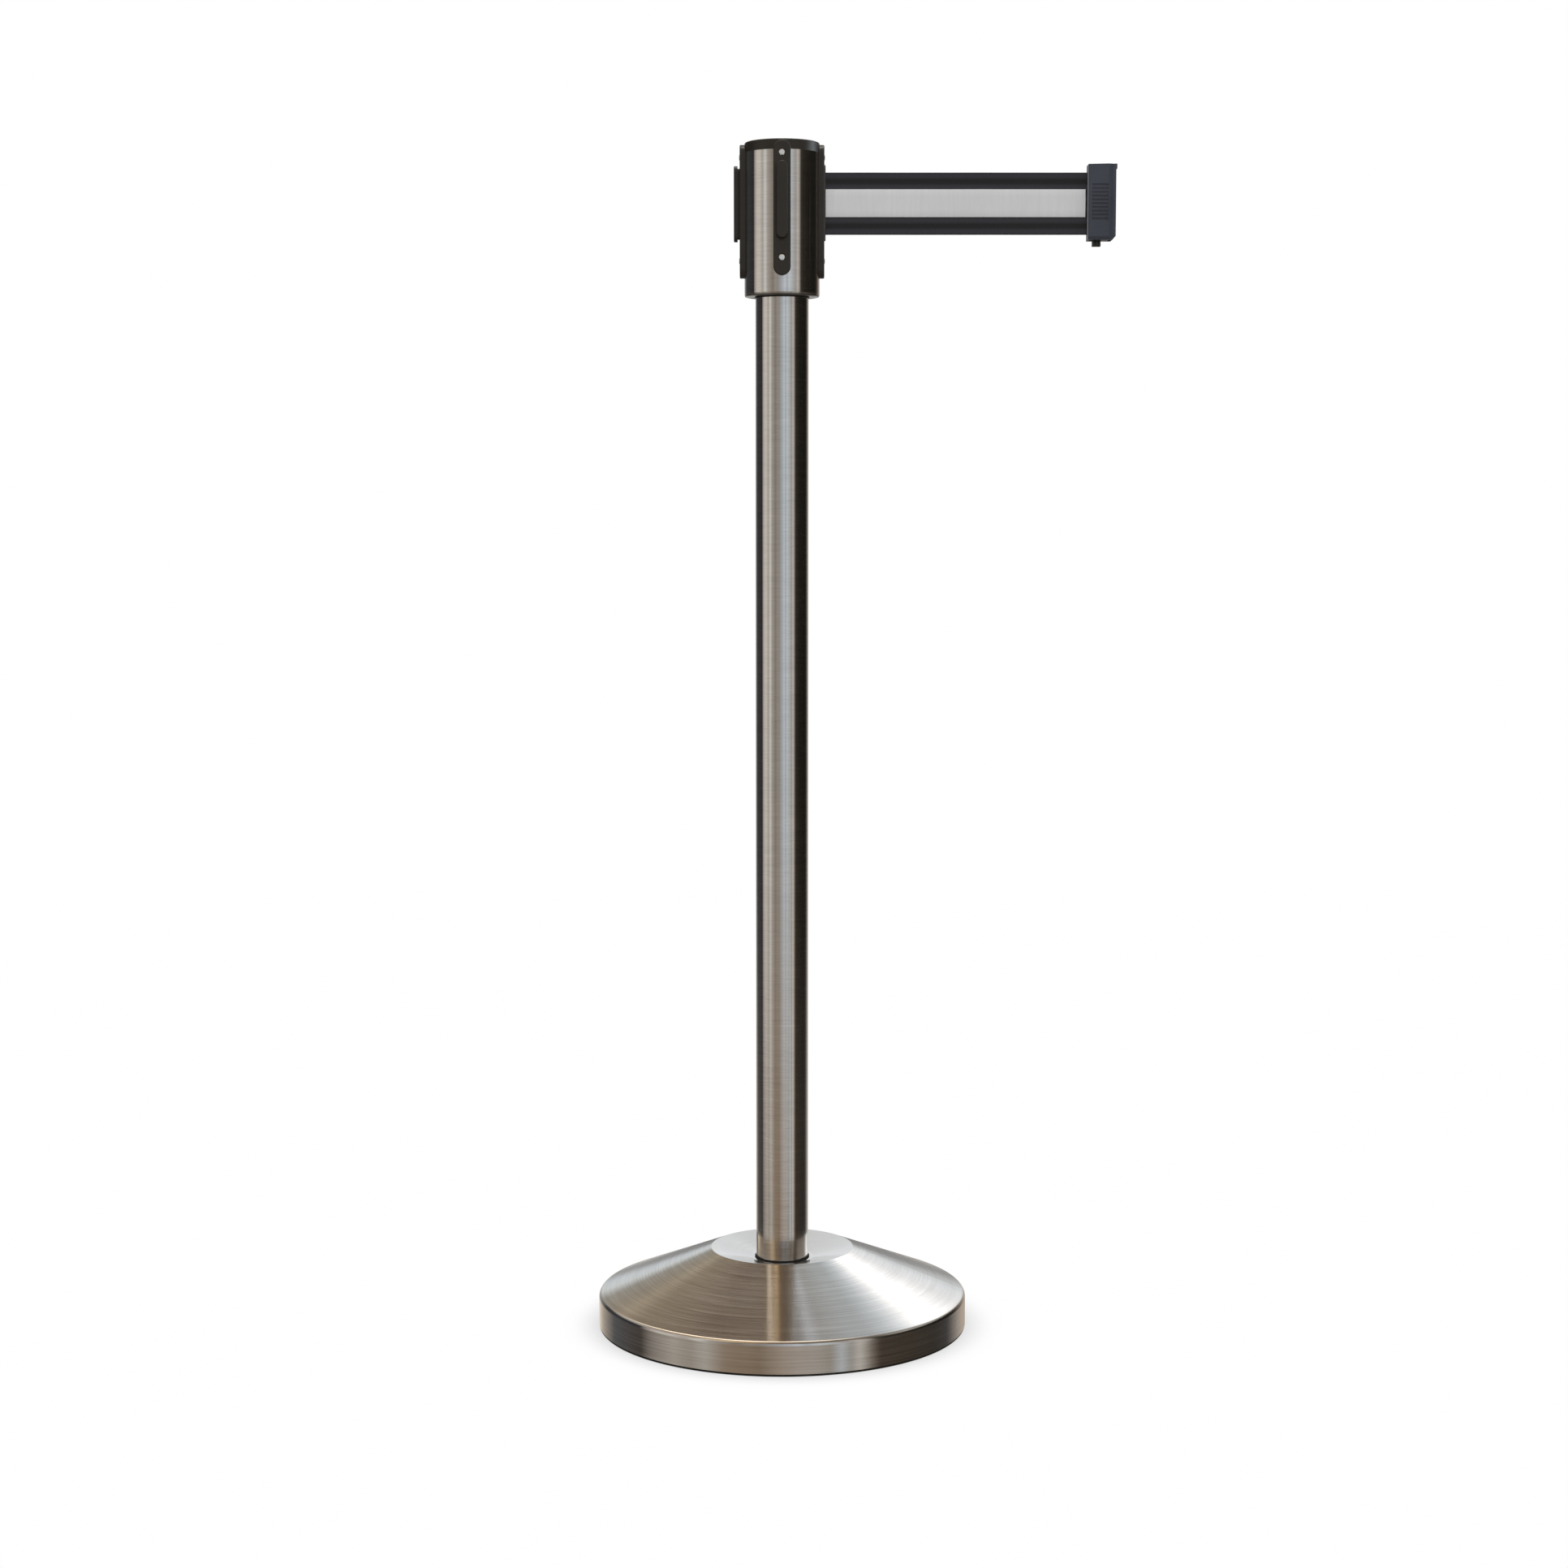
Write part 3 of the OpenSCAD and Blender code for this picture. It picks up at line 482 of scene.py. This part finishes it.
def blued_spring(name, tone):
    """Blued strip steel, with rolling marks along it and straw-coloured edges of the blueing."""
    f = Finish(name, Metallic=1.0)
    rolled = f.noise(f.scaled((f.x, f.y, f.z), (200.0, 200.0, 4000.0)))
    straw = f.remap(f.noise(f.at, scale=70.0, detail=2.0), 0.5, 0.7)
    colour = f.mix(f.math("MULTIPLY", straw, 0.6), f.vary(tone, rolled, 0.12), linear(150, 122, 80))
    return f.set(Base_Color=colour, Roughness=f.remap(rolled, 0.3, 0.7, 0.28, 0.42),
                 Normal=f.bump(rolled, 0.01 * MM))


def sintered_bronze(name, tone):
    """Porous bronze with oil-darkened pores."""
    f = Finish(name, Metallic=1.0)
    pores = f.noise(f.at, scale=3500.0, detail=2.0, roughness=0.7)
    oil = f.remap(f.noise(f.at, scale=260.0, detail=2.0), 0.45, 0.6)
    colour = f.vary(f.vary(tone, pores, 0.3), oil, 0.1)
    return f.set(Base_Color=colour, Roughness=f.remap(pores, 0.3, 0.7, 0.35, 0.6),
                 Normal=f.bump(pores, 0.05 * MM))


def belt_place(f, in_the_open):
    """How far along the belt and how far from its middle line a point is, in metres.

    In the open, the belt runs along X and grows in length as it is drawn out, so its weave is
    laid out by place. On the reel, it is laid out by the mesh's own cloth coordinates."""
    if in_the_open:
        return f.x, f.math("SUBTRACT", f.z, BELT_Z)
    along, across, _ = f.split(f.add("UVMap", uv_map="cloth").outputs[0])
    return along, across


def woven(f, along, across, yarn):
    """Height from 0 to 1 of a herringbone of yarns, whose slant turns back every few millimetres."""
    panel = f.math("PINGPONG", across, PANEL_W)
    slant = f.math("DIVIDE", f.math("ADD", along, panel), yarn)
    twill = f.math("ABSOLUTE", f.math("SINE", f.math("MULTIPLY", slant, math.pi)))
    rib = f.math("ABSOLUTE", f.math("SINE", f.math("MULTIPLY", across, math.pi / (0.7 * yarn))))
    return f.math("ADD", f.math("MULTIPLY", twill, 0.65), f.math("MULTIPLY", rib, 0.35))


def black_webbing(name, in_the_open):
    """Black polyester webbing, with paler bands where the weave lies more open."""
    f = Finish(name, Specular_IOR_Level=0.25, Sheen_Weight=0.12, Sheen_Roughness=0.4)
    along, across = belt_place(f, in_the_open)
    weave = woven(f, along, across, WEB_YARN)
    out = f.math("ABSOLUTE", across)
    phase = f.math("MULTIPLY", f.math("SUBTRACT", out, PALER_AT), 2 * math.pi / PALER_PITCH)
    open_weave = f.remap(f.math("COSINE", phase), -0.6, 0.9)
    fuzz = f.noise(f.scaled((along, 0.0, across), (900.0, 0.0, 1300.0)), detail=3.0, roughness=0.7)
    colour = f.mix(open_weave, linear(36, 35, 36), linear(51, 51, 56))
    colour = f.vary(colour, fuzz, 0.28)
    colour = f.vary(colour, weave, 0.25)
    height = f.math("ADD", weave, f.math("MULTIPLY", fuzz, 0.3))
    return f.set(Base_Color=colour, Roughness=f.remap(fuzz, 0.3, 0.7, 0.7, 0.9),
                 Normal=f.bump(height, 0.12 * MM))


def grey_band(name, in_the_open):
    """The pale reflective tape woven into the middle of the belt, with faint upright creases."""
    f = Finish(name, Specular_IOR_Level=0.3)
    along, across = belt_place(f, in_the_open)
    place = (along, 0.0, across)
    creases = f.noise(f.scaled(place, (260.0, 0.0, 22.0)), detail=3.0, roughness=0.65)
    clouds = f.noise(f.scaled(place, (16.0, 0.0, 16.0)))
    beads = f.noise(f.scaled(place, (3500.0, 0.0, 3500.0)))
    weave = woven(f, along, across, BAND_YARN)
    colour = f.vary(linear(203, 204, 205), creases, 0.035)
    colour = f.vary(colour, clouds, 0.02)
    colour = f.vary(colour, beads, 0.04)
    colour = f.vary(colour, weave, 0.02)
    height = f.math("ADD", f.math("MULTIPLY", weave, 0.4), creases)
    return f.set(Base_Color=colour, Roughness=f.remap(beads, 0.3, 0.7, 0.5, 0.65),
                 Normal=f.bump(height, 0.06 * MM))


# By material slot, and by node where a node has one of its own
FINISHES = {
    "brushed_steel": lathe_brushed("brushed steel"),
    "head_sleeve": lathe_brushed("brushed steel sleeve", foot_z=SLEEVE_FOOT_Z),
    "spun_steel": lathe_brushed("spun steel", rough=(0.10, 0.15), lines=1.6, spread=0.9, calm_r=CREST_R),
    "cast_iron": cast_iron("cast iron", linear(46, 46, 48)),
    "rubber": black_rubber("rubber", linear(28, 27, 26)),
    "black_plastic": moulded_plastic("black plastic", linear(38, 34, 29)),
    "clip_plastic": moulded_plastic("clip plastic", linear(56, 59, 68), rough=0.36),
    "nylon": moulded_plastic("nylon", linear(222, 217, 202)),
    "zinc_steel": plated("zinc plate", (0.86, 0.86, 0.85, 1.0)),
    "spring_steel": blued_spring("spring steel", linear(88, 96, 118)),
    "bronze": sintered_bronze("bronze", linear(196, 150, 92)),
    "webbing": black_webbing("webbing", in_the_open=True),
}


def finish_nodes():
    """Gives each CAD node its finish."""
    for row in frame["record"]["subparts"]:
        finish = FINISHES.get(row["node"], FINISHES[row["material_slot"]])
        for place in frame["nodes"][row["node"]].material_slots:
            place.material = finish


# ---- belt ----

def ribbon(name, path, columns_at, materials, band_stop=None):
    """A webbing ribbon that stands on edge along a path in the XY plane.

    path is a list of 2-D points, already as close together as the ribbon's columns. columns_at
    are the distances along the path. The section has rounded selvedges, and the tape in its
    middle lies a little proud of the webbing beside it."""
    half_w = BELT_W / 2
    half_t = BELT_T / 2
    band = BAND_W / 2
    sunk = 0.85 * half_t
    side = [
        (half_w, 0.0),
        (half_w - 0.15 * MM, 0.6 * sunk),
        (half_w - 0.5 * MM, half_t),
        (half_w - SELVEDGE_W, half_t),
        (half_w - SELVEDGE_W - 0.4 * MM, sunk),
        (band + 2.5 * MM, sunk),
        (band + 0.1 * MM, sunk),
        (band, half_t),
        (band / 2, half_t),
    ]
    front = side + [(0.0, half_t)] + [(-z, t) for z, t in reversed(side)]
    # The tape and the webbing next to it lie a little higher than the selvedges' middle
    front = [(z + BAND_RISE if abs(z) < 1.3 * band else z, t) for z, t in front]
    section = front + [(z, -t) for z, t in reversed(front[1:-1])]
    mesh = bpy.data.meshes.new(name)
    shape = bmesh.new()
    cloth = shape.loops.layers.uv.new("cloth")
    columns = []
    for i, point in enumerate(path):
        ahead = path[min(i + 1, len(path) - 1)]
        behind = path[max(i - 1, 0)]
        tangent = (Vector(ahead) - Vector(behind)).normalized()
        normal = Vector((tangent.y, -tangent.x))
        columns.append([
            shape.verts.new((point[0] + normal.x * t, point[1] + normal.y * t, BELT_Z + z))
            for z, t in section
        ])
    count = len(section)
    for i in range(len(path) - 1):
        on_band = band_stop is None or columns_at[i + 1] <= band_stop + CLOSE
        for j in range(count):
            k = (j + 1) % count
            face = shape.faces.new((columns[i][j], columns[i][k], columns[i + 1][k], columns[i + 1][j]))
            in_band = max(abs(section[m][0] - BAND_RISE) for m in (j, k)) <= band + CLOSE
            face.material_index = 1 if in_band and on_band else 0
            face.smooth = True
            for loop, (column, row) in zip(face.loops, ((i, j), (i, k), (i + 1, k), (i + 1, j))):
                loop[cloth].uv = (columns_at[column], section[row][0])
    for ends in (columns[0][::-1], columns[-1]):
        shape.faces.new(ends)
    bmesh.ops.recalc_face_normals(shape, faces=shape.faces)
    shape.to_mesh(mesh)
    shape.free()
    for material in materials:
        mesh.materials.append(material)
    piece = bpy.data.objects.new(name, mesh)
    bpy.context.collection.objects.link(piece)
    return piece


def distances(path):
    """How far each point is along the path."""
    at = [0.0]
    for a, b in zip(path, path[1:]):
        at.append(at[-1] + math.dist(a, b))
    return at


def turn(centre, radius, start, stop, steps):
    """Points of an arc in the XY plane, from start to stop in degrees."""
    angles = (math.radians(start + (stop - start) * i / steps) for i in range(steps + 1))
    return [(centre.x + radius * math.cos(a), centre.y + radius * math.sin(a)) for a in angles]


def straight(a, b, pitch):
    """Points from a up to, but not including, b."""
    steps = max(1, round(math.dist(a, b) / pitch))
    return [tuple(p + (q - p) * i / steps for p, q in zip(a, b)) for i in range(steps)]


def make_belt_in_the_open():
    """From the slot to a loop round the bar in the clip, where the end is sewn back on itself."""
    bar = (BAR_LOW + BAR_HIGH) / 2
    bar_r = (BAR_HIGH.x - BAR_LOW.x) / 2
    loop_r = bar_r + BELT_T / 2 + BAR_GAP
    neck = bar_r + NECK
    opening = math.degrees(math.acos(loop_r / neck))
    start = (WEB_LOW.x, 0.0)
    band_end = (CLIP_X - BAND_STOP, 0.0)
    sewn = (bar.x - neck, 0.0)
    loop = turn(bar, loop_r, 180 - opening, opening - 180, LOOP_STEPS)
    tail = (sewn[0] + CUT_END[0], CUT_END[1])
    path = straight(start, band_end, OPEN_PITCH) + straight(band_end, sewn, CLIP_PITCH)
    path += straight(sewn, loop[0], LOOP_PITCH) + loop
    path += straight(loop[-1], tail, LOOP_PITCH)[1:] + [tail]
    at = distances(path)
    piece = ribbon("webbing_drawn_out", path, at,
                   [FINISHES["webbing"], grey_band("grey band", in_the_open=True)],
                   band_stop=band_end[0] - start[0])
    for vertex in piece.data.vertices:
        x, _, z = vertex.co
        from_slot, from_clip = (min(1.0, max(0.0, gap / HELD_FLAT)) for gap in (x - SLOT_X, CLIP_X - x))
        wave = math.sin(LONG_WAVE * x + 1.1) + 0.6 * math.sin(SHORT_WAVE * x + WAVE_LEAN * (z - BELT_Z))
        vertex.co.y += RIPPLE * from_slot * from_clip * wave
    # The photo's head doesn't mirror the belt
    piece.visible_glossy = False
    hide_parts("belt_web")
    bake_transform(piece)


def make_belt_in_the_head():
    """The turns on the reel, and the stretch from them round the guide roller to the slot."""
    reel = (COIL_LOW + COIL_HIGH) / 2
    coil_r = (COIL_HIGH.x - COIL_LOW.x) / 2
    turns = int((coil_r - REEL_HUB_R) / BELT_T)
    steps = STEPS_A_TURN * turns
    inner = REEL_HUB_R + BELT_T / 2
    outer = coil_r - BELT_T / 2
    spiral = []
    for i in range(steps + 1):
        angle = 2 * math.pi * turns * i / steps
        radius = inner + (outer - inner) * i / steps
        spiral.append((reel.x + radius * math.cos(angle), reel.y + radius * math.sin(angle)))
    materials = [black_webbing("webbing on the reel", in_the_open=False),
                 grey_band("grey band on the reel", in_the_open=False)]
    at = distances(spiral)
    coil = ribbon("webbing_on_reel", spiral, at, materials)
    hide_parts("belt_coil")
    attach(coil, "reel")

    roller = (ROLLER_LOW + ROLLER_HIGH) / 2
    # The belt leaves the roller along the X axis
    bend_r = roller.y
    leave_r = coil_r + COIL_GAP + BELT_T / 2
    reach = roller - reel
    slant = math.asin((leave_r + bend_r) / math.hypot(reach.x, reach.y)) - math.atan2(reach.y, reach.x)
    start = (reel.x + leave_r * math.sin(slant), leave_r * math.cos(slant))
    bend = turn(roller, bend_r, 270 - math.degrees(slant), 270, BEND_STEPS)
    path = straight(start, bend[0], LEAD_PITCH) + bend + [(WEB_LOW.x, 0.0)]
    at = distances(path)
    lead = ribbon("webbing_in_slot", path, at, materials)
    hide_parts("belt_lead")
    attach(lead, "stand")


# ---- studio ----

def make_camera():
    """The photo's view."""
    data = bpy.data.cameras.new("camera")
    data.lens = LENS_MM
    data.sensor_width = SENSOR_MM
    camera = bpy.data.objects.new("camera", data)
    camera.location = CAMERA_AT
    camera.rotation_euler = (math.pi / 2 - CAMERA_DOWN, 0, 0)
    bpy.context.collection.objects.link(camera)
    bpy.context.scene.camera = camera


def make_floor():
    """A plain white floor, shaded only where the base stands close over it."""
    material = bpy.data.materials.new("floor")
    material.use_nodes = True
    nodes = Nodes(material.node_tree)
    near = nodes.add("AmbientOcclusion", {"Distance": SHADE_REACH}, samples=8).outputs["AO"]
    paper = nodes.noise(nodes.add("TexCoord").outputs["Object"], scale=3.0)
    level = nodes.math("MULTIPLY", nodes.remap(near, 0.0, 0.9, SHADE_LEVEL, 1.0),
                       nodes.remap(paper, 0.3, 0.7, 0.998, 1.0))
    lit = nodes.add("Emission", {"Color": nodes.mix(level, BLACK, WHITE)}).outputs[0]
    clear = nodes.add("BsdfTransparent").outputs[0]
    back = nodes.add("NewGeometry").outputs["Backfacing"]
    seen = nodes.add("MixShader", {0: back, 1: lit, 2: clear}).outputs[0]
    nodes.add("OutputMaterial", {"Surface": seen})
    mesh = bpy.data.meshes.new("floor")
    shape = bmesh.new()
    bmesh.ops.create_circle(shape, cap_ends=True, radius=3.0, segments=96)
    shape.to_mesh(mesh)
    shape.free()
    mesh.materials.append(material)
    floor = bpy.data.objects.new("floor", mesh)
    bpy.context.collection.objects.link(floor)
    floor.visible_glossy = False
    floor.visible_diffuse = False
    floor.visible_shadow = False


def step(nodes, value, ends):
    """From 0 to 1 as an angle goes between two ends, in degrees."""
    return nodes.remap(value, *(math.radians(end) for end in ends), smooth=True)


def surroundings(nodes, x, y, z):
    """What the steel mirrors in a direction: lamps, pale walls and dark flags round the object."""
    shine = sum(STEEL_TONE) / 3

    def seen_as(shade, gain=1.0):
        return linear(*shade, gain=gain / shine)

    def ring(angle, rows, gain=1.0):
        # A row's third entry, where it has one, is a gain of its own
        stops = [((row[0] + 180) / 360, seen_as(row[1], gain * math.prod(row[2:]))) for row in rows]
        return nodes.ramp(nodes.remap(angle, -math.pi, math.pi), stops)

    def both(a, b):
        return nodes.math("MULTIPLY", a, b)

    heading = nodes.math("ARCTAN2", x, nodes.math("MULTIPLY", y, -1.0))
    height = nodes.math("ARCSINE", z)
    floor = nodes.mix(step(nodes, height, TO_FLOOR_SHADED), ring(heading, LOW), seen_as(FLOOR_SHADED))
    floor = nodes.mix(step(nodes, height, TO_FLOOR), floor, seen_as(FLOOR))
    floor = nodes.mix(step(nodes, height, TO_FLOOR_UNDER), floor, seen_as(FLOOR_UNDER))
    mirrored = nodes.mix(step(nodes, height, TO_LOW), ring(heading, HORIZON), floor)
    aside = step(nodes, nodes.math("ABSOLUTE", heading), FLAGS_FROM)
    over_flags = both(step(nodes, height, TO_ABOVE_FLAGS), aside)
    mirrored = nodes.mix(over_flags, mirrored, seen_as(ABOVE_FLAGS))
    # The camera sees this by way of the post and then the base, so it loses light twice
    mirrored = nodes.mix(step(nodes, height, TO_HIGH), mirrored, ring(heading, HIGH, 1 / shine))

    # The tilt and the heading of a mirror that would show this direction to the camera
    mirror_y = nodes.math("SUBTRACT", y, math.cos(SIGHT_DOWN))
    mirror_z = nodes.math("ADD", z, math.sin(SIGHT_DOWN))
    tilt = nodes.math("ARCTAN2", nodes.length(x, mirror_y), mirror_z)
    facing = nodes.math("ARCTAN2", x, nodes.math("MULTIPLY", mirror_y, -1.0))
    mirrored = nodes.mix(step(nodes, tilt, TO_SLOPE), mirrored, ring(facing, SLOPE))
    across_lamp = both(step(nodes, tilt, LAMP_FLAT), step(nodes, tilt, LAMP_STEEP))
    along_lamp = both(step(nodes, facing, LAMP_LEFT), step(nodes, facing, LAMP_RIGHT))
    mirrored = nodes.mix(both(across_lamp, along_lamp), mirrored, seen_as(LAMP, LAMP_GAIN))
    return nodes.mix(step(nodes, tilt, TO_CARD), mirrored, seen_as(CARD))


def soft_light(nodes, x, z):
    """What lights the plastic and the belt: bright overhead, dim at the sides and from below."""
    overhead = nodes.remap(z, -0.6, 0.8, 0.1, 0.95)
    aside = nodes.remap(nodes.math("ABSOLUTE", x), 0.35, 0.9, 1.05, 0.2)
    from_floor = nodes.remap(z, -0.85, -0.97, 0.0, 0.3)
    level = nodes.math("ADD", nodes.math("MULTIPLY", overhead, aside), from_floor)
    return nodes.mix(level, BLACK, WHITE)


def make_world():
    """A white room, which lights soft surfaces evenly and has more to show in the steel."""
    world = bpy.data.worlds.new("studio")
    world.use_nodes = True
    world.cycles.sampling_method = "NONE"
    bpy.context.scene.world = world
    nodes = Nodes(world.node_tree)
    x, y, z = nodes.split(nodes.add("TexCoord").outputs["Generated"])
    ray = nodes.add("LightPath").outputs
    seen = nodes.mix(ray["Is Glossy Ray"], soft_light(nodes, x, z), surroundings(nodes, x, y, z))
    seen = nodes.mix(ray["Is Camera Ray"], seen, WHITE)
    background = nodes.add("Background", {"Color": seen})
    nodes.add("OutputWorld", {"Surface": background.outputs[0]})


def plastic_nodes():
    """A collection of the moulded plastic parts, which two of the lamps are for."""
    parts = bpy.data.collections.new("plastic")
    for row in frame["record"]["subparts"]:
        if "plastic" in row["material_slot"]:
            parts.objects.link(frame["nodes"][row["node"]])
    return parts


def make_lamp(name, at, size, watts, colour, only=None):
    """A soft round lamp. It shows in the gloss of what it lights only if it is for some parts only."""
    data = bpy.data.lights.new(name, "AREA")
    data.shape = "DISK"
    data.size = size
    data.energy = watts
    data.color = colour
    lamp = bpy.data.objects.new(name, data)
    lamp.location = at
    lamp.rotation_euler = (Vector(LAMPS_AIM) - Vector(at)).to_track_quat("-Z", "Y").to_euler()
    if only:
        lamp.light_linking.receiver_collection = only
    else:
        lamp.visible_glossy = False
    bpy.context.collection.objects.link(lamp)


make_camera()
make_floor()
make_world()
plastic = plastic_nodes()
make_lamp("key", at=(0.2, -2.6, 1.9), size=1.2, watts=35, colour=(1.0, 0.99, 0.97))
make_lamp("fill", at=(2.4, -1.0, 1.0), size=1.6, watts=6, colour=(1.0, 0.95, 0.9))
make_lamp("top", at=(0.1, -0.1, 2.2), size=0.5, watts=8, colour=(1.0, 1.0, 1.0), only=plastic)
make_lamp("side", at=(1.7, 0.5, 1.3), size=0.8, watts=9, colour=(0.85, 0.94, 1.0), only=plastic)
finish_nodes()
make_belt_in_the_open()
make_belt_in_the_head()

bpy.context.scene.view_settings.view_transform = "Standard"
